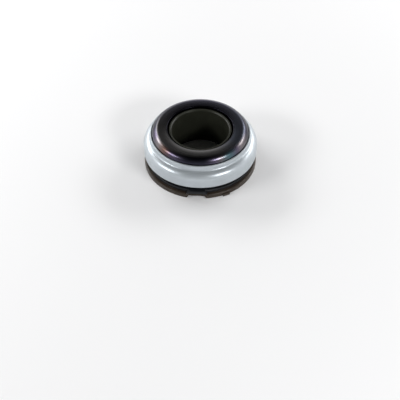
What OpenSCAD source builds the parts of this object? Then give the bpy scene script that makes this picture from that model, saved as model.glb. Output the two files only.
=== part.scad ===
// Self-centring clutch release bearing.
// Lengths are in millimetres. Z is the bearing's axis, with the contact face up and the fork side at zero.
// Radii build up from the guide bore outwards, and heights from the fork side upwards.

/* [Guide sleeve] */
// Diameter of the bore that slides on the gearbox guide tube
guide_bore_d = 30.2; // [28:0.1:36]
// Wall of the sleeve's tube
sleeve_wall = 1.2; // [1:0.1:2]
// How far the sleeve's end lies below the contact land
sleeve_setback = 1.2; // [0.5:0.1:2.5]
// Chamfer at both ends of the bore
bore_chamfer = 0.5; // [0.3:0.1:0.9]
// Height of the rim at the fork side
rim_h = 2.4; // [2:0.1:4]
// Height of the step above the rim
step_h = 2; // [1.8:0.1:4]
// Height of the neck between the step and the face that carries the bearing unit
neck_h = 1.9; // [1.5:0.1:4]
// How far the rim lies inside the cover's outer wall
rim_inset = 0.1; // [0:0.1:1]
// Width of the ledge on top of the rim
rim_ledge = 1.6; // [1:0.1:2.2]
// Width of the ledge on top of the step
step_ledge = 1.3; // [0.6:0.1:2]
// Edge rounding of the rim
rim_edge_r = 0.8; // [0.3:0.05:1]
// Edge rounding of the step
step_edge_r = 0.25; // [0.1:0.05:0.6]
// How far the snap ridge stands out of the tube
ridge_out = 1.7; // [1.5:0.1:2.2]
// Height of the snap ridge
ridge_h = 0.7; // [0.5:0.1:1.2]

/* [Fork side] */
// Width of a fork notch at its roof
notch_w = 6.8; // [5:0.1:9]
// Slope of a notch's sides, sideways per unit of height
notch_slope = 0.55; // [0.2:0.05:0.8]
// Height of a notch's roof above the fork side
notch_h = 3.2; // [2.4:0.1:3.8]
// Depth of a notch behind the rim's outer face
notch_depth = 2; // [1.4:0.1:3]
// Wall round a notch
notch_wall = 1.7; // [1.2:0.1:2.4]
// Wall of the foot round the bore
foot_wall = 2.2; // [1.6:0.1:3]
// Wall of the rim behind its outer face
rim_wall = 2.8; // [2:0.1:3.6]
// Roof thickness that stays above the moulding pockets
pocket_roof = 3.2; // [2:0.1:4]
// Thickness of the moulding ribs
rib_t = 1.6; // [1:0.1:2.5]
// Number of moulding ribs round the axis
rib_count = 8; // [8:4:12]
// Width of the index tab
tab_w = 3.8; // [2:0.1:5]
// How far the index tab stands out of the rim
tab_out = 0.9; // [0.4:0.05:1.2]
// Height of the index tab
tab_h = 1.4; // [0.8:0.1:2]
// Angle of the index tab from the front notch
tab_angle = 30; // [20:1:70]

/* [Balls and cage] */
// Ball diameter
ball_d = 5.556; // [5:0.001:6.4]
// Number of balls
ball_count = 18; // [12:1:20]
// Height of the cage's rim below the balls
cage_base = 0.75; // [0.6:0.05:1.5]
// How far the cage's prongs reach outside the ball circle
prong_out = 1.6; // [1:0.1:1.8]
// How far the cage's prongs reach above the ball centres
prong_rise = 0.7; // [0.3:0.1:1.2]

/* [Contact ring] */
// Wall between the ring's bore and its ball track
ring_wall = 2.5; // [2:0.1:3.5]
// Thickness of the flange below the contact land
flange_t = 4.25; // [4:0.05:5.5]
// How far the flange's edge lies inside the deepest circle of the outer ball track
flange_inset = 0.2; // [0.1:0.02:0.9]
// Rounding of the contact face's outer edge
contact_edge_r = 3.7; // [1.5:0.1:5]
// Straight land below that rounding, which the rounding leaves at least
edge_land = 0.2; // [0.1:0.05:0.5]
// Width of the flat land on top, which the clutch's spring tips touch
contact_land = 1; // [0.6:0.1:1.5]
// How far the crowned face falls from the land to the bore's edge
crown_fall = 0.35; // [0.1:0.05:0.6]
// Chamfer at the ring's bore
ring_chamfer = 0.4; // [0.2:0.1:0.8]

/* [Outer ring and seal] */
// Wall outside the ball track
race_wall = 3.72; // [3.2:0.01:4.5]
// Thickness of the collar that slides on the sleeve
collar_t = 1.9; // [1.4:0.1:3]
// Radial width of the collar inside the seal seat
collar_w = 6; // [5:0.1:6.5]
// How far the seal seat lies inside the deepest circle of the ball track
seat_inset = 0.56; // [0.3:0.02:0.9]
// How far the collar's outer edge lies inside the cover's wall
collar_inset = 1.65; // [1.2:0.05:2.2]
// How far the outer ring's top lies below the ball centres
race_drop = 0.9; // [0.6:0.1:1.6]
// Width of the thrust shoulder under the balls, inwards from the seal seat
shoulder_w = 2.05; // [1.6:0.05:2.3]
// Thickness of the seal
seal_t = 1.1; // [0.8:0.1:1.6]
// Thickness of the seal's lip
seal_lip_t = 0.25; // [0.15:0.05:0.5]
// Radial length of the seal's lip
seal_lip_w = 0.6; // [0.4:0.1:1.2]

/* [Centring spring] */
// Thickness of the spring washer
spring_t = 0.7; // [0.5:0.05:1]
// Cone height of the spring washer
spring_rise = 0.55; // [0.3:0.05:1]
// Radial width of the spring washer
spring_w = 4; // [3.2:0.1:4.4]

/* [Cover] */
// Sheet thickness of the cover
cover_t = 0.7; // [0.5:0.05:1]
// Height of the cover's straight wall
cover_wall_h = 4.6; // [3.6:0.1:5]
// Radius of the cover's shoulder
shoulder_r = 4; // [3.4:0.1:4.6]
// Radius of the cove between the shoulder and the neck
cove_r = 1.3; // [0.6:0.1:1.6]
// Height of the lip above the shoulder's top
lip_h = 2.9; // [2.4:0.1:3.6]
// How far the lip lies below the contact land
lip_drop = 3.5; // [3.2:0.1:3.8]
// Edge rounding of the lip and the lower edge
sheet_edge_r = 0.3; // [0.1:0.05:0.4]

/* [Clearances] */
// Radial gap between the sleeve and the contact ring, which lets the bearing unit centre itself
float_gap = 1; // [0.8:0.05:1.5]
// Radial gap between the sleeve and the spring washer
spring_gap = 0.9; // [0.75:0.05:1.2]
// Gap between the balls and each ball track
race_gap = 0.1; // [0.05:0.01:0.15]
// Gap between the balls and their cage pockets
pocket_gap = 0.12; // [0.08:0.01:0.25]
// Gap between the cage and the rings
cage_gap = 0.35; // [0.2:0.05:0.5]
// Gap between flat faces that slide on each other
slide_gap = 0.05; // [0.03:0.01:0.1]
// Gap between pieces that turn past each other end to end
turn_gap = 0.35; // [0.2:0.05:0.6]
// Gap between the seal's lip and the contact ring's skirt
lip_gap = 0.1; // [0.05:0.01:0.2]
// Gap between the cover's lip and the contact ring's edge
edge_gap = 0.37; // [0.2:0.01:0.6]
// Gap between pieces that are pressed together
press_gap = 0.02; // [0.01:0.01:0.05]

/* [Hidden] */
$fn = 96;
CROWN_FN = 360;
CUT = 1;

bore_r = guide_bore_d / 2;
ball_r = ball_d / 2;
track_r = ball_r + race_gap;
sleeve_r = bore_r + sleeve_wall;
ring_bore_r = sleeve_r + float_gap;
skirt_r = ring_bore_r + ring_wall;
pitch_r = skirt_r + track_r;
track_bottom_r = pitch_r + track_r;
contact_r = track_bottom_r - flange_inset;
seat_r = track_bottom_r - seat_inset;
race_r = track_bottom_r + race_wall;
cover_r = race_r + press_gap + cover_t;
lip_r = contact_r + edge_gap;
cover_neck_r = lip_r + cover_t;
rim_r = cover_r - rim_inset;
step_r = rim_r - rim_ledge;
neck_r = step_r - step_ledge;
notch_r = rim_r - notch_depth;
ridge_r = sleeve_r + ridge_out;

step_z = rim_h + step_h;
face_z = step_z + neck_h;
collar_z = face_z + slide_gap;
collar_top_z = collar_z + collar_t;
spring_z = collar_top_z + slide_gap;
ridge_z = spring_z + spring_rise + spring_t + slide_gap;
skirt_z = ridge_z + ridge_h + turn_gap;
seal_top_z = skirt_z + seal_t;
cage_z = seal_top_z + cage_gap;
ball_z = cage_z + cage_base + ball_r;
flange_z = ball_z + track_r;
face_top_z = flange_z + flange_t;
sleeve_end_z = face_top_z - sleeve_setback;
race_top_z = ball_z - race_drop;
lip_z = face_top_z - lip_drop;
shoulder_z = lip_z - lip_h - shoulder_r;
cover_edge_z = shoulder_z - cover_wall_h;

shoulder_c = [cover_r - shoulder_r, shoulder_z];
cove_c_r = cover_neck_r + cove_r;
cove_side = cove_c_r - shoulder_c.x;
cove_c = [cove_c_r, shoulder_z + sqrt(pow(shoulder_r + cove_r, 2) - pow(cove_side, 2))];
cove_dir = (cove_c - shoulder_c) / norm(cove_c - shoulder_c);

function ball_name(i) = str("ball_", i < 10 ? "0" : "", i);
function ball_angle(i) = 360 * (i - 0.5) / ball_count;

// A half section turned about the bearing's axis
module turned() {
    rotate_extrude() children();
}

// A rectangle of a half section, from one radius and height to another
module band(r0, r1, z0, z1) {
    translate([r0, z0]) square([r1 - r0, z1 - z0]);
}

// A half section from the axis to a radius, with its top outer corner rounded
module post(r, z0, z1, edge) {
    band(0, r - edge, z0, z1);
    band(0, r, z0, z1 - edge);
    translate([r - edge, z1 - edge]) circle(edge);
}

// The circle that the balls' centres sweep through a half section
module track(radius) {
    translate([pitch_r, ball_z]) circle(radius);
}

// Half section of the sleeve: tube, stepped base and snap ridge
module sleeve_section() {
    difference() {
        union() {
            post(rim_r, 0, rim_h, rim_edge_r);
            post(step_r, 0, step_z, step_edge_r);
            band(0, neck_r, 0, face_z);
            band(0, sleeve_r, 0, sleeve_end_z);
            polygon([
                [0, ridge_z],
                [ridge_r, ridge_z],
                [ridge_r, ridge_z + ridge_h / 2],
                [sleeve_r, ridge_z + ridge_h],
                [0, ridge_z + ridge_h]
            ]);
        }
        band(-CUT, bore_r, -CUT, sleeve_end_z + CUT);
        polygon([[0, 0], [bore_r + bore_chamfer, 0], [bore_r, bore_chamfer], [0, bore_chamfer]]);
        polygon([
            [0, sleeve_end_z],
            [bore_r + bore_chamfer, sleeve_end_z],
            [bore_r, sleeve_end_z - bore_chamfer],
            [0, sleeve_end_z - bore_chamfer]
        ]);
    }
}

// Runs a shape out over the front and the back of the rim, from a distance off the axis
module both_notches(from_r) {
    for (turn = [0, 180]) {
        rotate([0, 0, turn]) rotate([90, 0, 0]) translate([0, 0, from_r]) linear_extrude(rim_r) children();
    }
}

// A notch's cross-section, widened by a wall and carried up to a height
module notch_shape(wall, top) {
    half_foot = notch_w / 2 + notch_slope * notch_h + wall;
    half_top = half_foot - notch_slope * top;
    polygon([[-half_foot, 0], [half_foot, 0], [half_top, top], [-half_top, top]]);
}

// Arches that carry the rim over each notch
module notch_arches() {
    arch_h = notch_h + notch_wall;
    intersection() {
        both_notches(notch_r - notch_wall) notch_shape(notch_wall, arch_h);
        turned() post(rim_r, 0, arch_h, rim_edge_r);
    }
}

// The notches themselves, open outwards and to the fork side
module notch_cuts() {
    both_notches(notch_r) {
        notch_shape(0, notch_h);
        translate([-notch_w, -CUT]) square([2 * notch_w, CUT]);
    }
}

// Moulding pockets of the fork side, with the ribs and the notch walls left standing
module pockets() {
    pocket_h = face_z - pocket_roof;
    difference() {
        turned() band(sleeve_r + foot_wall, rim_r - rim_wall, -CUT, pocket_h);
        for (i = [1:rib_count]) {
            rotate([0, 0, 360 * i / rib_count]) translate([0, -rib_t / 2, -CUT]) {
                cube([rim_r, rib_t, pocket_h + 2 * CUT]);
            }
        }
        both_notches(notch_r - notch_wall) {
            notch_shape(notch_wall, face_z);
            translate([-rim_r, -2 * CUT]) square([2 * rim_r, 2 * CUT]);
        }
    }
}

// A small tab on the rim that shows which way round the sleeve goes
module index_tab() {
    rotate([0, 0, tab_angle - 90]) intersection() {
        cylinder(r = rim_r + tab_out, h = tab_h);
        translate([rim_r - rim_wall, -tab_w / 2, 0]) cube([rim_wall + 2 * tab_out, tab_w, tab_h]);
    }
}

module guide_sleeve() {
    color("#2b2a25") difference() {
        union() {
            turned() sleeve_section();
            notch_arches();
            index_tab();
        }
        pockets();
        notch_cuts();
    }
}

module centring_spring() {
    inner_r = sleeve_r + spring_gap;
    outer_r = inner_r + spring_w;
    color("#6c6f74") turned() polygon([
        [outer_r, spring_z],
        [outer_r, spring_z + spring_t],
        [inner_r, spring_z + spring_t + spring_rise],
        [inner_r, spring_z + spring_rise]
    ]);
}

module outer_ring() {
    fit_r = shoulder_r - cover_t - press_gap;
    color("#7f8489") turned() difference() {
        union() {
            band(seat_r - collar_w, cover_r - collar_inset, collar_z, collar_top_z);
            band(seat_r, race_r, collar_top_z, shoulder_z);
            band(seat_r - shoulder_w, shoulder_c.x, seal_top_z, race_top_z);
            intersection() {
                translate(shoulder_c) circle(fit_r);
                band(seat_r, race_r, shoulder_z - CUT, race_top_z);
            }
        }
        track(track_r);
    }
}

module grease_seal() {
    inner_r = skirt_r + lip_gap;
    outer_r = seat_r - press_gap;
    top_z = seal_top_z - press_gap;
    middle_z = skirt_z + seal_t / 2;
    color("#3a2f28") turned() polygon([
        [inner_r, middle_z - seal_lip_t / 2],
        [inner_r + seal_lip_w, skirt_z],
        [outer_r, skirt_z],
        [outer_r, top_z],
        [inner_r + seal_lip_w, top_z],
        [inner_r, middle_z + seal_lip_t / 2]
    ]);
}

// Filled half section under the cover's outer face, set in by a depth
module cover_fill(depth, bottom_z, top_z) {
    tangent = shoulder_c + (shoulder_r - depth) * cove_dir;
    band(0, cover_r - depth, bottom_z, shoulder_z);
    translate(shoulder_c) circle(shoulder_r - depth);
    difference() {
        polygon([
            [0, shoulder_z],
            shoulder_c,
            tangent,
            cove_c,
            [cover_neck_r - depth, cove_c.y],
            [cover_neck_r - depth, top_z],
            [0, top_z]
        ]);
        translate(cove_c) circle(cove_r + depth);
    }
}

// What a rounding takes off an outer corner of a half section
module corner_off(r, z, up) {
    translate([r - sheet_edge_r, z - up * sheet_edge_r]) difference() {
        translate([0, up > 0 ? 0 : -2 * sheet_edge_r]) square(2 * sheet_edge_r);
        circle(sheet_edge_r);
    }
}

module cover() {
    color("#b9c3ca") turned() difference() {
        cover_fill(0, cover_edge_z, lip_z);
        cover_fill(cover_t, cover_edge_z - CUT, lip_z + CUT);
        corner_off(cover_neck_r, lip_z, 1);
        corner_off(cover_r, cover_edge_z, -1);
    }
}

module contact_ring() {
    edge = min(contact_edge_r, flange_t - edge_land);
    land_r = contact_r - edge - contact_land;
    bore_edge_z = face_top_z - crown_fall;
    crown_w = land_r - ring_bore_r;
    crown_r = (pow(crown_w, 2) + pow(crown_fall, 2)) / (2 * crown_fall);
    color("#23232e") turned() difference() {
        union() {
            band(0, skirt_r, skirt_z, face_top_z);
            band(0, pitch_r, ball_z, face_top_z);
            post(contact_r, flange_z, face_top_z, edge);
        }
        track(track_r);
        band(-CUT, ring_bore_r, skirt_z - CUT, face_top_z + CUT);
        difference() {
            band(0, land_r, bore_edge_z, face_top_z + CUT);
            translate([land_r, face_top_z - crown_r]) circle(crown_r, $fn = CROWN_FN);
        }
        polygon([
            [0, bore_edge_z - ring_chamfer],
            [ring_bore_r, bore_edge_z - ring_chamfer],
            [ring_bore_r + ring_chamfer + CUT, bore_edge_z + CUT],
            [0, bore_edge_z + CUT]
        ]);
    }
}

module ball_cage() {
    inner_r = skirt_r + cage_gap;
    outer_r = seat_r - shoulder_w - cage_gap;
    prong_r = pitch_r + prong_out;
    rim_top_z = ball_z - ball_r;
    prong_top_z = ball_z + prong_rise;
    slant = prong_r - outer_r;
    color("#8a6a3c") difference() {
        turned() polygon([
            [inner_r, cage_z],
            [outer_r, cage_z],
            [outer_r, rim_top_z],
            [prong_r, rim_top_z + slant],
            [prong_r, prong_top_z],
            [inner_r + slant, prong_top_z],
            [inner_r, prong_top_z - slant]
        ]);
        for (i = [1:ball_count]) {
            at_ball(i) sphere(ball_r + pocket_gap);
        }
    }
}

// Moves a shape to a ball's place
module at_ball(i) {
    rotate([0, 0, ball_angle(i)]) translate([pitch_r, 0, ball_z]) children();
}

module ball(i) {
    color("#d8dbde") at_ball(i) sphere(ball_r);
}

guide_sleeve();
centring_spring();
outer_ring();
grease_seal();
cover();
contact_ring();
ball_cage();
for (i = [1:ball_count]) ball(i);
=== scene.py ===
"""Looks of a clutch release bearing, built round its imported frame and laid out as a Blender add-on.

The turned, pressed and moulded pieces get their finishes here, and the stage gets its floor, lights and camera.
Lengths are in metres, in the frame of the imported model: Z is the bearing's axis, and the contact face is up.
"""

import math

import bpy
from bpy.props import FloatProperty, FloatVectorProperty, IntProperty, PointerProperty
from mathutils import Matrix, Vector


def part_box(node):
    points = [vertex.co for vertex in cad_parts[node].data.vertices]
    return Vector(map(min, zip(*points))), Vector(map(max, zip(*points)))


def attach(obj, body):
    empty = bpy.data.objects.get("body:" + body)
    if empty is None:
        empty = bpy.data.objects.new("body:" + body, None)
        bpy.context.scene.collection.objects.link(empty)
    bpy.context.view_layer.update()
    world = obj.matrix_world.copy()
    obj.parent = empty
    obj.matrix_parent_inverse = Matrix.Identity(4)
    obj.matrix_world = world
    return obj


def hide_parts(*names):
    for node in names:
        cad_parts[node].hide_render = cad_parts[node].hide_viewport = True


bl_info = {
    "name": "Clutch Release Bearing",
    "version": (1, 0, 0),
    "blender": (4, 5, 0),
    "location": "3D View > Sidebar > Bearing",
    "description": "Gives a clutch release bearing its finishes and sets its stage",
    "category": "Object",
}

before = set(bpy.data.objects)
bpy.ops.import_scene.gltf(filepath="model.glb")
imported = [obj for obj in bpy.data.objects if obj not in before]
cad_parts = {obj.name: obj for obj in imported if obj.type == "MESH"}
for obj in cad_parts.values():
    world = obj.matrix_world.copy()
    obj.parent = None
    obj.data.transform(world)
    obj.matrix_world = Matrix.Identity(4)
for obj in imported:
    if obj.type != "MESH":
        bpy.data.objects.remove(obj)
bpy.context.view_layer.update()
IMAGE_PX = 400
SENSOR_MM = 36.0
BALL_NODES = sorted(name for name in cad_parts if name.startswith(("ball_0", "ball_1")))

# The sockets of a mix node that mixes colours: its share and two colours, and its result.
MIX_INPUTS = (0, 6, 7)
MIX_RESULT = 2

# Points of a turned piece that are nearer than this are one, and edges sharper than this stay sharp.
MERGE_DISTANCE = 0.000002
SMOOTH_ANGLE = math.radians(30)

# Where one tone goes over to another on the sleeve: past its bore, where the tube's painted shade ends, and above the
# floor, where the rim's tone gives way to the step's painted shade.
TUBE_END = (0.003, 0.004)
RIM_TOP = (0.0024, 0.0028)

# Where one tone goes over to another on the contact ring: past its bore, where the painted shade at the bore edge
# ends, and in from its outside.
BORE_SHADE_END = (0.0003, 0.0008)
FACE_END = (0.00285, 0.00185)

# The noise levels at which a clouded colour has its darker and its lighter shade.
CLOUD_DARK = 0.3
CLOUD_LIGHT = 0.7

# Depths of relief: lines that a tool leaves, the grain of soft mouldings and the sleeve's grain.
LINE_DEPTH = 0.00002
SOFT_DEPTH = 0.00004
GRAIN_DEPTH = 0.00005

# Each soft box's azimuth and elevation in degrees, its width and height, and its radiance.
BOX_DISTANCE = 0.6
SOFT_BOXES = {
    "soft_box_right_front": (46.0, 29.0, (0.23, 0.10), 20.5),
    "soft_box_right_back": (131.0, 30.0, (0.44, 0.13), 8.7),
    "soft_box_left_front": (-64.0, 29.0, (0.27, 0.10), 15.5),
    "soft_box_left_back": (-128.0, 30.0, (0.44, 0.13), 9.6),
}

# The surround's level at the horizon and its share in front, and the parts of a direction, upwards and backwards,
# between which the level goes to nothing and the share goes to one.
HORIZON_LEVEL = 1.4
FRONT_SHARE = 0.3
SKY_FADE = (0.2, 0.7)
FRONT_FADE = (-0.7, 0.3)


def colour_property(name, description, default):
    """A colour that a user may change."""
    return FloatVectorProperty(
        name=name, description=description, default=default, size=3, subtype="COLOR", min=0.0, max=1.0
    )


def length_property(name, description, default):
    """A length that a user may change."""
    return FloatProperty(name=name, description=description, default=default, unit="LENGTH", min=0.0)


def angle_property(name, description, degrees):
    """An angle that a user may change."""
    return FloatProperty(name=name, description=description, default=math.radians(degrees), subtype="ANGLE")


def pixel_property(name, description, default):
    """A length or place in the image that a user may change."""
    return FloatProperty(name=name, description=description, default=default, subtype="PIXEL")


class BearingShape(bpy.types.PropertyGroup):
    """Sizes of the turned pieces that the frame's boxes don't give."""

    ring_wall: length_property("Ring wall", "Contact ring's wall between its bore and its ball track", 0.0025)
    flange: length_property("Flange", "Thickness of the contact ring's flange below its land", 0.00425)
    track_gap: length_property("Track gap", "Gap between the balls and the ball track", 0.0001)
    contact_edge: length_property("Contact edge", "Rounding of the contact face's outer edge", 0.0037)
    contact_land: length_property("Contact land", "Width of the flat land on the contact face", 0.001)
    crown_fall: length_property("Crown fall", "How far the contact face falls from its land to the bore", 0.00035)
    ring_edge: length_property("Ring edge", "Rounding of the contact ring's edge at its bore", 0.0004)
    small_edge: length_property("Small edge", "Rounding of the contact ring's other edges", 0.00015)
    sheet: length_property("Sheet", "Thickness of the cover's sheet", 0.0007)
    shoulder: length_property("Shoulder", "Radius of the cover's shoulder", 0.004)
    cove: length_property("Cove", "Radius of the cove between the cover's shoulder and neck", 0.0013)
    lip_rise: length_property("Lip rise", "Height of the cover's lip above its shoulder", 0.0029)
    lip_gap: length_property("Lip gap", "Gap between the contact ring and the cover's lip", 0.00037)
    sheet_edge: length_property("Sheet edge", "Rounding of the cover's lip and lower edge", 0.0003)
    turn_steps: IntProperty(name="Turn steps", description="Steps round the axis of a turned piece", default=256)


class BearingFinish(bpy.types.PropertyGroup):
    """Colours of the finishes."""

    # Painted shade: the tube's olive is set darker to stand in for the shade in the bore.
    nylon: colour_property("Nylon", "Colour of the guide sleeve's tube", (0.021, 0.022, 0.0155))
    nylon_rim: colour_property("Nylon rim", "Colour of the guide sleeve's rim", (0.038, 0.028, 0.020))
    # Painted shade: the step's near-black tone stands in for the shade under the cover's overhang.
    step_painted_shade: colour_property("Nylon step", "Colour of the sleeve's step below the cover", (0.010, 0.011, 0.013))
    zinc: colour_property("Zinc", "Colour of the cover's zinc plating", (0.488, 0.532, 0.565))
    temper_dark: colour_property("Temper dark", "Darkest temper colour of the contact ring", (0.030, 0.030, 0.043))
    # Painted reflection: the face's tone is lighter at the front; its blue and violet are temper tints.
    face_tone_and_painted_reflection: colour_property("Temper face", "Temper colour of the contact ring's face", (0.165, 0.160, 0.160))
    face_blue: colour_property("Face blue", "Blue side of the contact ring's face", (0.090, 0.100, 0.130))
    face_violet: colour_property("Face violet", "Violet side of the contact ring's face", (0.127, 0.124, 0.165))
    # Painted highlights: the bare and pale tones raise the round edge's reflectance where the soft boxes reflect in
    # it.
    bare_and_painted_highlight: colour_property("Temper bare", "Nearly bare steel on the contact ring", (0.185, 0.168, 0.174))
    pale_and_painted_highlight: colour_property("Temper pale", "Pale temper colour of the contact ring", (0.126, 0.118, 0.129))
    temper_plum: colour_property("Temper plum", "Plum temper colour of the contact ring", (0.090, 0.078, 0.116))
    temper_copper: colour_property("Temper copper", "Copper temper colour of the contact ring", (0.140, 0.086, 0.070))
    temper_blue: colour_property("Temper blue", "Blue temper colour of the contact ring", (0.078, 0.140, 0.162))
    steel: colour_property("Bearing steel", "Colour of the ground outer ring", (0.42, 0.43, 0.45))
    ball: colour_property("Ball steel", "Colour of the polished balls", (0.75, 0.76, 0.78))
    cage: colour_property("Cage nylon", "Colour of the ball cage", (0.42, 0.30, 0.14))
    seal: colour_property("Seal rubber", "Colour of the grease seal", (0.06, 0.045, 0.035))
    spring: colour_property("Spring steel", "Colour of the centring spring", (0.30, 0.31, 0.33))


class BearingStage(bpy.types.PropertyGroup):
    """Camera and floor."""

    distance: length_property("Distance", "From the camera to the point it is set by", 0.45)
    target_z: length_property("Target height", "Height on the axis of the point that the camera is set by", 0.012)
    elevation: angle_property("Elevation", "Camera's angle above the floor", 41.96)
    azimuth: angle_property("Azimuth", "Camera's turn to the right of the front notch", 3.7)
    focal_px: pixel_property("Focal length", "Focal length in pixels of the image", 846.6)
    target_x_px: pixel_property("Target column", "Pixel column of the target", 200.3)
    target_y_px: pixel_property("Target row", "Pixel row of the target", 142.45)
    floor_size: length_property("Floor size", "Side of the floor", 6.0)
    floor: colour_property("Floor", "Colour of the floor", (0.92, 0.92, 0.925))


def arc(centre, radius, start, end, steps):
    """Points of an arc in a half section, as pairs of radius and height; the angles are in degrees."""
    points = []
    for i in range(steps + 1):
        angle = math.radians(start + (end - start) * i / steps)
        points.append((centre[0] + radius * math.cos(angle), centre[1] + radius * math.sin(angle)))
    return points


def turn_piece(name, outline, steps):
    """Draws a half section point by point, closes it and spins it round the axis."""
    bpy.ops.object.select_all(action="DESELECT")
    bpy.ops.mesh.primitive_plane_add(size=0.001)
    piece = bpy.context.active_object
    piece.name = name
    bpy.ops.object.mode_set(mode="EDIT")
    bpy.ops.mesh.select_mode(type="VERT")
    bpy.ops.mesh.select_all(action="SELECT")
    bpy.ops.mesh.merge(type="CENTER")
    bpy.ops.transform.translate(value=(outline[0][0], 0.0, outline[0][1]))
    for (r0, z0), (r1, z1) in zip(outline, outline[1:]):
        bpy.ops.mesh.extrude_vertices_move(TRANSFORM_OT_translate={"value": (r1 - r0, 0.0, z1 - z0)})
    bpy.ops.object.mode_set(mode="OBJECT")
    for vertex in piece.data.vertices:
        vertex.select = vertex.index in (0, len(outline) - 1)
    bpy.ops.object.mode_set(mode="EDIT")
    bpy.ops.mesh.edge_face_add()
    bpy.ops.mesh.select_all(action="SELECT")
    bpy.ops.mesh.spin(steps=steps, angle=2 * math.pi, center=(0.0, 0.0, 0.0), axis=(0.0, 0.0, 1.0))
    bpy.ops.mesh.select_all(action="SELECT")
    bpy.ops.mesh.remove_doubles(threshold=MERGE_DISTANCE)
    bpy.ops.mesh.normals_make_consistent(inside=False)
    bpy.ops.object.mode_set(mode="OBJECT")
    bpy.ops.object.shade_smooth_by_angle(angle=SMOOTH_ANGLE)
    return piece


def least_radius(node_name):
    """The bore radius of a round node."""
    return min(math.hypot(v.co.x, v.co.y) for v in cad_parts[node_name].data.vertices)


def add_node(tree, kind, **values):
    """Adds a shader node; a value goes to the socket of that name, or else to the property of that name."""
    node = tree.nodes.new(kind)
    for key, value in values.items():
        socket = node.inputs.get(key.replace("_", " ").title())
        if socket is not None:
            socket.default_value = value
        else:
            setattr(node, key, value)
    return node


def start_material(name, metallic, roughness=0.5):
    """A material with its shader and its Object coordinates."""
    material = bpy.data.materials.new(name)
    material.use_nodes = True
    tree = material.node_tree
    shader = tree.nodes["Principled BSDF"]
    shader.inputs["Metallic"].default_value = metallic
    shader.inputs["Roughness"].default_value = roughness
    coordinates = add_node(tree, "ShaderNodeTexCoord").outputs["Object"]
    return material, tree, shader, coordinates


def noise(tree, coordinates, scale, detail=3.0):
    """Noise on the Object coordinates, from 0 to 1."""
    node = add_node(tree, "ShaderNodeTexNoise", scale=scale, detail=detail)
    tree.links.new(coordinates, node.inputs["Vector"])
    return node.outputs["Fac"]


def ramp(tree, factor, stops):
    """A colour ramp with its stops as pairs of place and colour."""
    node = add_node(tree, "ShaderNodeValToRGB")
    elements = node.color_ramp.elements
    while len(elements) < len(stops):
        elements.new(1.0)
    for element, (place, colour) in zip(elements, stops):
        element.position = place
        element.color = (*colour, 1.0)
    tree.links.new(factor, node.inputs["Fac"])
    return node.outputs["Color"]


def map_range(tree, value, start, end, interpolation="SMOOTHSTEP"):
    """Takes one range over to another, each a pair."""
    node = add_node(
        tree, "ShaderNodeMapRange", interpolation_type=interpolation,
        from_min=start[0], from_max=start[1], to_min=end[0], to_max=end[1],
    )
    tree.links.new(value, node.inputs["Value"])
    return node.outputs["Result"]


def rise(tree, value, low, high):
    """Goes smoothly from 0 to 1 between two values."""
    return map_range(tree, value, (low, high), (0.0, 1.0))


def spread(tree, share, low, high):
    """Takes 0 to 1 evenly over to a narrower range."""
    return map_range(tree, share, (0.0, 1.0), (low, high), "LINEAR")


def bump(tree, shader, relief, strength, distance):
    """Relief on the shader's normal."""
    node = add_node(tree, "ShaderNodeBump", strength=strength, distance=distance)
    tree.links.new(relief, node.inputs["Height"])
    tree.links.new(node.outputs["Normal"], shader.inputs["Normal"])


def shade(colour, factor):
    """A lighter or darker shade of a colour."""
    return tuple(min(1.0, part * factor) for part in colour)


def clouded(tree, clouds, colour, darker, lighter):
    """A colour that goes between two of its shades with the clouds."""
    return ramp(tree, clouds, [(CLOUD_DARK, shade(colour, darker)), (CLOUD_LIGHT, shade(colour, lighter))])


def axis_distance(tree, coordinates):
    """The distance from the axis."""
    flat = add_node(tree, "ShaderNodeVectorMath", operation="MULTIPLY")
    flat.inputs[1].default_value = (1.0, 1.0, 0.0)
    tree.links.new(coordinates, flat.inputs[0])
    length = add_node(tree, "ShaderNodeVectorMath", operation="LENGTH")
    tree.links.new(flat.outputs["Vector"], length.inputs[0])
    return length.outputs["Value"]


def floor_height(tree, coordinates):
    """The height above the floor."""
    place = add_node(tree, "ShaderNodeSeparateXYZ")
    tree.links.new(coordinates, place.inputs[0])
    return place.outputs["Z"]


def blend(tree, share, first, second):
    """Goes from one colour to another."""
    node = add_node(tree, "ShaderNodeMix", data_type="RGBA")
    for socket, source in zip(MIX_INPUTS, (share, first, second)):
        tree.links.new(source, node.inputs[socket])
    return node.outputs[MIX_RESULT]


def line_marks(tree, along, per_metre):
    """Fine lines that change only with the given distance, from 0 to 1."""
    lines = add_node(tree, "ShaderNodeTexNoise", noise_dimensions="1D", scale=per_metre, detail=2.0)
    tree.links.new(along, lines.inputs["W"])
    return lines.outputs["Fac"]


def turning_marks(tree, coordinates, per_metre):
    """Fine rings round the axis, as a lathe leaves them, from 0 to 1."""
    return line_marks(tree, axis_distance(tree, coordinates), per_metre)


def drawing_marks(tree, coordinates, per_metre):
    """Fine rings round the axis on a pressed cap's wall and shoulder, from 0 to 1."""
    along = add_node(tree, "ShaderNodeMath", operation="SUBTRACT")
    tree.links.new(axis_distance(tree, coordinates), along.inputs[0])
    tree.links.new(floor_height(tree, coordinates), along.inputs[1])
    return line_marks(tree, along.outputs["Value"], per_metre)


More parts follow.
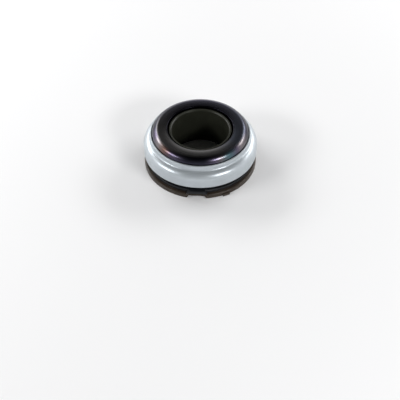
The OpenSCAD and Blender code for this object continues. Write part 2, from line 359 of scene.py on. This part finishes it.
def turn_share(tree, coordinates, waver):
    """The angle round the axis as a share of a turn, half at the front and more to the right, with a slight waver."""
    front = add_node(tree, "ShaderNodeVectorMath", operation="MULTIPLY")
    front.inputs[1].default_value = (1.0, -1.0, 1.0)
    tree.links.new(coordinates, front.inputs[0])
    place = add_node(tree, "ShaderNodeSeparateXYZ")
    tree.links.new(front.outputs["Vector"], place.inputs[0])
    angle = add_node(tree, "ShaderNodeMath", operation="ARCTAN2")
    tree.links.new(place.outputs["X"], angle.inputs[0])
    tree.links.new(place.outputs["Y"], angle.inputs[1])
    turn = add_node(tree, "ShaderNodeMath", operation="MULTIPLY_ADD")
    tree.links.new(angle.outputs["Value"], turn.inputs[0])
    turn.inputs[1].default_value = 0.5 / math.pi
    turn.inputs[2].default_value = 0.5 - waver / 2
    share = add_node(tree, "ShaderNodeMath", operation="MULTIPLY_ADD")
    tree.links.new(noise(tree, coordinates, scale=90.0, detail=2.0), share.inputs[0])
    share.inputs[1].default_value = waver
    tree.links.new(turn.outputs["Value"], share.inputs[2])
    return share.outputs["Value"]


def nylon_material(finish):
    """Moulded nylon with a fine spark-eroded grain: brown on the rim, olive and darkened in the bore as painted
    shade, and near-black on the step below the cover as painted shade.
    """
    material, tree, shader, coordinates = start_material("nylon_moulded", metallic=0.0)
    shader.inputs["Specular IOR Level"].default_value = 0.3
    clouds = noise(tree, coordinates, scale=90.0)
    tube, rim, step = [
        clouded(tree, clouds, colour, darker=0.8, lighter=1.25)
        for colour in (finish.nylon, finish.nylon_rim, finish.step_painted_shade)
    ]
    bore = least_radius("guide_sleeve")
    # Painted shade: the tube's darker tone holds from the bore until a little past it.
    outside = rise(tree, axis_distance(tree, coordinates), bore + TUBE_END[0], bore + TUBE_END[1])
    # Above the rim, the rim's tone gives way to the step's painted shade.
    above_rim = rise(tree, floor_height(tree, coordinates), *RIM_TOP)
    colour = blend(tree, outside, tube, blend(tree, above_rim, rim, step))
    tree.links.new(colour, shader.inputs["Base Color"])
    tree.links.new(spread(tree, clouds, low=0.28, high=0.38), shader.inputs["Roughness"])
    bump(tree, shader, noise(tree, coordinates, scale=3000.0, detail=2.0), strength=0.25, distance=GRAIN_DEPTH)
    return material


def zinc_material(finish):
    """Satin zinc plating on drawn sheet, with faint clouds and drawing lines."""
    material, tree, shader, coordinates = start_material("zinc_plated", metallic=0.42)
    clouds = noise(tree, coordinates, scale=120.0)
    tree.links.new(clouded(tree, clouds, finish.zinc, darker=0.95, lighter=1.04), shader.inputs["Base Color"])
    lines = drawing_marks(tree, coordinates, per_metre=1600.0)
    tree.links.new(spread(tree, lines, low=0.28, high=0.40), shader.inputs["Roughness"])
    bump(tree, shader, lines, strength=0.25, distance=LINE_DEPTH)
    return material


def temper_material(finish):
    """Turned steel with copper, plum and blue temper tints, and painted light: painted highlights on the round edge
    where the soft boxes reflect, a face lighter at the front as a painted reflection, and painted shade at the bore
    edge.

    The stops are shares of a turn, from the back by the left, the front and the right to the back again.
    """
    material, tree, shader, coordinates = start_material("steel_tempered", metallic=1.0)
    share = turn_share(tree, coordinates, waver=0.04)
    # Temper tints by angle round the axis; the bare and pale stops, and partly the copper and blue ones, are painted
    # highlights set where the soft boxes reflect.
    round_edge = ramp(tree, share, [
        (0.26, finish.temper_dark),
        (0.30, finish.temper_plum),
        (0.335, finish.bare_and_painted_highlight),
        (0.378, finish.temper_copper),
        (0.411, shade(finish.temper_plum, 0.8)),
        (0.46, finish.temper_dark),
        (0.527, finish.temper_dark),
        (0.56, finish.temper_plum),
        (0.582, finish.pale_and_painted_highlight),
        (0.616, finish.temper_blue),
        (0.649, finish.temper_plum),
        (0.677, shade(finish.bare_and_painted_highlight, 0.85)),
        (0.74, finish.temper_dark),
    ])
    # The face's brightness by angle is painted reflection, lighter at the front and darker on the left; its blue and
    # violet hues are temper tints.
    face = ramp(tree, share, [
        (0.0, finish.face_violet),
        (0.25, shade(finish.face_tone_and_painted_reflection, 0.38)),
        (0.42, finish.face_tone_and_painted_reflection),
        (0.58, finish.face_tone_and_painted_reflection),
        (0.68, finish.face_blue),
        (0.76, shade(finish.face_blue, 0.8)),
        (1.0, finish.face_violet),
    ])
    # Painted shade: near-black at the bore edge, where the ring meets the sleeve.
    scale = ramp(tree, share, [(0.0, shade(finish.temper_dark, 0.3)), (1.0, shade(finish.temper_dark, 0.4))])
    radius = axis_distance(tree, coordinates)
    bore, outer = least_radius("contact_ring"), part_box("contact_ring")[1][0]
    past_bore = rise(tree, radius, bore + BORE_SHADE_END[0], bore + BORE_SHADE_END[1])
    on_edge = rise(tree, radius, outer - FACE_END[0], outer - FACE_END[1])
    colour = blend(tree, on_edge, blend(tree, past_bore, scale, face), round_edge)
    tree.links.new(colour, shader.inputs["Base Color"])
    marks = turning_marks(tree, coordinates, per_metre=9000.0)
    tree.links.new(spread(tree, marks, low=0.24, high=0.32), shader.inputs["Roughness"])
    bump(tree, shader, marks, strength=0.06, distance=LINE_DEPTH)
    return material


def plain_metal(name, colour, roughness, per_metre):
    """Turned, ground or polished steel, with the number of its fine rings in a metre."""
    material, tree, shader, coordinates = start_material(name, 1.0, roughness)
    clouds = noise(tree, coordinates, scale=150.0)
    tree.links.new(clouded(tree, clouds, colour, darker=0.9, lighter=1.0), shader.inputs["Base Color"])
    bump(tree, shader, turning_marks(tree, coordinates, per_metre), strength=0.05, distance=LINE_DEPTH)
    return material


def soft_material(name, colour, roughness):
    """Moulded rubber or plastic."""
    material, tree, shader, coordinates = start_material(name, 0.0, roughness)
    clouds = noise(tree, coordinates, scale=200.0)
    tree.links.new(clouded(tree, clouds, colour, darker=0.85, lighter=1.1), shader.inputs["Base Color"])
    bump(tree, shader, noise(tree, coordinates, scale=2500.0, detail=2.0), strength=0.15, distance=SOFT_DEPTH)
    return material


def dress(node_name, material):
    """Gives a node of the frame its finish."""
    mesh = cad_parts[node_name].data
    mesh.materials.clear()
    mesh.materials.append(material)


class BEARING_OT_guide_sleeve(bpy.types.Operator):
    """Finish the moulded guide sleeve"""

    bl_idname = "bearing.guide_sleeve"
    bl_label = "Guide sleeve"

    def execute(self, context):
        dress("guide_sleeve", nylon_material(context.scene.bearing_finish))
        return {"FINISHED"}


class BEARING_OT_cover(bpy.types.Operator):
    """Press the cover"""

    bl_idname = "bearing.cover"
    bl_label = "Cover"

    def execute(self, context):
        shape = context.scene.bearing_shape
        low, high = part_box("cover")
        outer, foot, lip = high[0], low[2], high[2]
        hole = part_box("contact_ring")[1][0] + shape.lip_gap
        neck = hole + shape.sheet
        shoulder = (outer - shape.shoulder, lip - shape.lip_rise - shape.shoulder)
        reach = shape.shoulder + shape.cove
        aside = neck + shape.cove - shoulder[0]
        cove = (neck + shape.cove, shoulder[1] + math.sqrt(reach ** 2 - aside ** 2))
        turn = math.degrees(math.acos(aside / reach))
        edge = shape.sheet_edge
        inside = outer - shape.sheet
        outline = [(inside, foot)]
        outline += arc((outer - edge, foot + edge), edge, 270, 360, steps=6)
        outline += arc(shoulder, shape.shoulder, 0, turn, steps=24)
        outline += arc(cove, shape.cove, turn + 180, 180, steps=14)[1:]
        outline += arc((neck - edge, lip - edge), edge, 0, 90, steps=6)
        outline += [(hole, lip)]
        outline += arc(cove, shape.cove + shape.sheet, 180, turn + 180, steps=14)
        outline += arc(shoulder, shape.shoulder - shape.sheet, turn, 0, steps=24)[1:]
        piece = turn_piece("cover_pressed", outline, shape.turn_steps)
        piece.data.materials.append(zinc_material(context.scene.bearing_finish))
        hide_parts("cover")
        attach(piece, "bearing_unit")
        return {"FINISHED"}


class BEARING_OT_contact_ring(bpy.types.Operator):
    """Turn the contact ring"""

    bl_idname = "bearing.contact_ring"
    bl_label = "Contact ring"

    def execute(self, context):
        shape = context.scene.bearing_shape
        low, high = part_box("contact_ring")
        outer, foot, top = high[0], low[2], high[2]
        bore = least_radius("contact_ring")
        skirt = bore + shape.ring_wall
        ball_low, ball_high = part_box(BALL_NODES[0])
        ball_z = (ball_low[2] + ball_high[2]) / 2
        track = (ball_high[2] - ball_low[2]) / 2 + shape.track_gap
        pitch = skirt + track
        under = top - shape.flange
        rounding = (outer - shape.contact_edge, top - shape.contact_edge)
        land = rounding[0] - shape.contact_land
        width = land - bore
        crown_radius = (width ** 2 + shape.crown_fall ** 2) / (2 * shape.crown_fall)
        fall = math.degrees(math.asin((width - shape.ring_edge) / crown_radius))
        crown = arc((land, top - crown_radius), crown_radius, 90 + fall, 90, steps=16)
        bore_edge = (bore + shape.ring_edge, crown[0][1] - shape.ring_edge)
        edge = shape.small_edge
        outline = arc((bore + edge, foot + edge), edge, 270, 180, steps=4)
        outline += arc(bore_edge, shape.ring_edge, 180, 90 + fall, steps=8)
        outline += crown[1:]
        outline += arc(rounding, shape.contact_edge, 90, 0, steps=24)
        outline += arc((outer - edge, under + edge), edge, 0, -90, steps=4)
        outline += arc((pitch, ball_z), track, 90, 180, steps=20)
        outline += arc((skirt - edge, foot + edge), edge, 0, -90, steps=4)
        piece = turn_piece("contact_ring_turned", outline, shape.turn_steps)
        piece.data.materials.append(temper_material(context.scene.bearing_finish))
        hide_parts("contact_ring")
        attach(piece, "turning_ring")
        return {"FINISHED"}


class BEARING_OT_inner_pieces(bpy.types.Operator):
    """Finish the pieces inside: outer ring, seal, spring, cage and balls"""

    bl_idname = "bearing.inner_pieces"
    bl_label = "Inner pieces"

    def execute(self, context):
        finish = context.scene.bearing_finish
        dress("outer_ring", plain_metal("steel_ground", finish.steel, roughness=0.3, per_metre=6000.0))
        dress("centring_spring", plain_metal("steel_spring", finish.spring, roughness=0.4, per_metre=3000.0))
        dress("grease_seal", soft_material("rubber_seal", finish.seal, roughness=0.6))
        dress("ball_cage", soft_material("nylon_cage", finish.cage, roughness=0.45))
        polished = plain_metal("steel_polished", finish.ball, roughness=0.08, per_metre=500.0)
        for name in BALL_NODES:
            dress(name, polished)
        return {"FINISHED"}


def area_light(name, azimuth, elevation, size, radiance, target):
    """A soft box that looks at a point; azimuth is from the front, to the right, in degrees as elevation is."""
    data = bpy.data.lights.new(name, "AREA")
    data.shape = "RECTANGLE"
    data.size, data.size_y = size
    data.energy = radiance * math.pi * size[0] * size[1]
    light = bpy.data.objects.new(name, data)
    bpy.context.scene.collection.objects.link(light)
    a, e = math.radians(azimuth), math.radians(elevation)
    away = Vector((math.sin(a) * math.cos(e), -math.cos(a) * math.cos(e), math.sin(e)))
    light.location = target + away * BOX_DISTANCE
    light.rotation_euler = away.to_track_quat("Z", "Y").to_euler()


def set_world(scene):
    """A pale surround that is dark overhead and dimmer in front."""
    world = bpy.data.worlds.new("surround")
    world.use_nodes = True
    scene.world = world
    tree = world.node_tree
    direction = add_node(tree, "ShaderNodeSeparateXYZ")
    tree.links.new(add_node(tree, "ShaderNodeTexCoord").outputs["Generated"], direction.inputs[0])
    level = add_node(tree, "ShaderNodeMath", operation="MULTIPLY")
    tree.links.new(map_range(tree, direction.outputs["Z"], SKY_FADE, (HORIZON_LEVEL, 0.0)), level.inputs[0])
    tree.links.new(map_range(tree, direction.outputs["Y"], FRONT_FADE, (FRONT_SHARE, 1.0)), level.inputs[1])
    tree.links.new(level.outputs["Value"], tree.nodes["Background"].inputs["Strength"])
    tree.nodes["Background"].inputs["Color"].default_value = (1.0, 1.0, 1.0, 1.0)


def set_camera(scene, stage):
    """The camera, aimed so that its target lands on the named pixel."""
    data = bpy.data.cameras.new("camera")
    data.sensor_width = SENSOR_MM
    data.lens = stage.focal_px / IMAGE_PX * SENSOR_MM
    data.clip_start = 0.01
    camera = bpy.data.objects.new("camera", data)
    scene.collection.objects.link(camera)
    scene.camera = camera
    target = Vector((0.0, 0.0, stage.target_z))
    forward = Vector((0.0, math.cos(stage.elevation), -math.sin(stage.elevation)))
    right = Vector((1.0, 0.0, 0.0))
    up = right.cross(forward)
    middle = IMAGE_PX / 2
    across = (stage.target_x_px - middle) / stage.focal_px
    above = (middle - stage.target_y_px) / stage.focal_px
    pitch = math.atan2(above, math.hypot(across, 1.0))
    yaw = math.atan2(across, 1.0)
    aim = forward * math.cos(pitch) - up * math.sin(pitch)
    top = up * math.cos(pitch) + forward * math.sin(pitch)
    ahead = aim * math.cos(yaw) - right * math.sin(yaw)
    side = right * math.cos(yaw) + aim * math.sin(yaw)
    turn = Matrix.Rotation(stage.azimuth, 4, "Z")
    pose = Matrix((side, top, -ahead)).transposed().to_4x4()
    pose.translation = target - forward * stage.distance
    camera.matrix_world = turn @ pose


class BEARING_OT_stage(bpy.types.Operator):
    """Set the floor, the lights and the camera"""

    bl_idname = "bearing.stage"
    bl_label = "Stage"

    def execute(self, context):
        scene = context.scene
        stage = scene.bearing_stage
        scene.view_settings.view_transform = "Standard"
        bpy.ops.object.select_all(action="DESELECT")
        bpy.ops.mesh.primitive_plane_add(size=stage.floor_size)
        floor = context.active_object
        floor.name = "floor"
        material, _, shader, _ = start_material("floor_paper", metallic=0.0, roughness=0.9)
        shader.inputs["Base Color"].default_value = (*stage.floor, 1.0)
        floor.data.materials.append(material)
        target = Vector((0.0, 0.0, stage.target_z))
        for name, (azimuth, elevation, size, radiance) in SOFT_BOXES.items():
            area_light(name, azimuth, elevation, size, radiance, target)
        set_world(scene)
        set_camera(scene, stage)
        return {"FINISHED"}


class BEARING_PT_panel(bpy.types.Panel):
    """Lists the bearing's sizes, colours and operators in the sidebar"""

    bl_idname = "BEARING_PT_panel"
    bl_label = "Clutch release bearing"
    bl_space_type = "VIEW_3D"
    bl_region_type = "UI"
    bl_category = "Bearing"

    def draw(self, context):
        scene = context.scene
        for group in (scene.bearing_shape, scene.bearing_finish, scene.bearing_stage):
            box = self.layout.box()
            for key in type(group).__annotations__:
                box.prop(group, key)
        for operator in OPERATORS:
            self.layout.operator(operator.bl_idname)


OPERATORS = (
    BEARING_OT_guide_sleeve,
    BEARING_OT_cover,
    BEARING_OT_contact_ring,
    BEARING_OT_inner_pieces,
    BEARING_OT_stage,
)
CLASSES = (BearingShape, BearingFinish, BearingStage, *OPERATORS, BEARING_PT_panel)


def register():
    """Adds the classes and the scene's properties."""
    for cls in CLASSES:
        bpy.utils.register_class(cls)
    bpy.types.Scene.bearing_shape = PointerProperty(type=BearingShape)
    bpy.types.Scene.bearing_finish = PointerProperty(type=BearingFinish)
    bpy.types.Scene.bearing_stage = PointerProperty(type=BearingStage)


def unregister():
    """Removes the scene's properties and the classes."""
    del bpy.types.Scene.bearing_stage
    del bpy.types.Scene.bearing_finish
    del bpy.types.Scene.bearing_shape
    for cls in reversed(CLASSES):
        bpy.utils.unregister_class(cls)


def main():
    """Makes the pieces and the stage."""
    register()
    bpy.ops.bearing.guide_sleeve()
    bpy.ops.bearing.cover()
    bpy.ops.bearing.contact_ring()
    bpy.ops.bearing.inner_pieces()
    bpy.ops.bearing.stage()


if __name__ == "__main__":
    main()
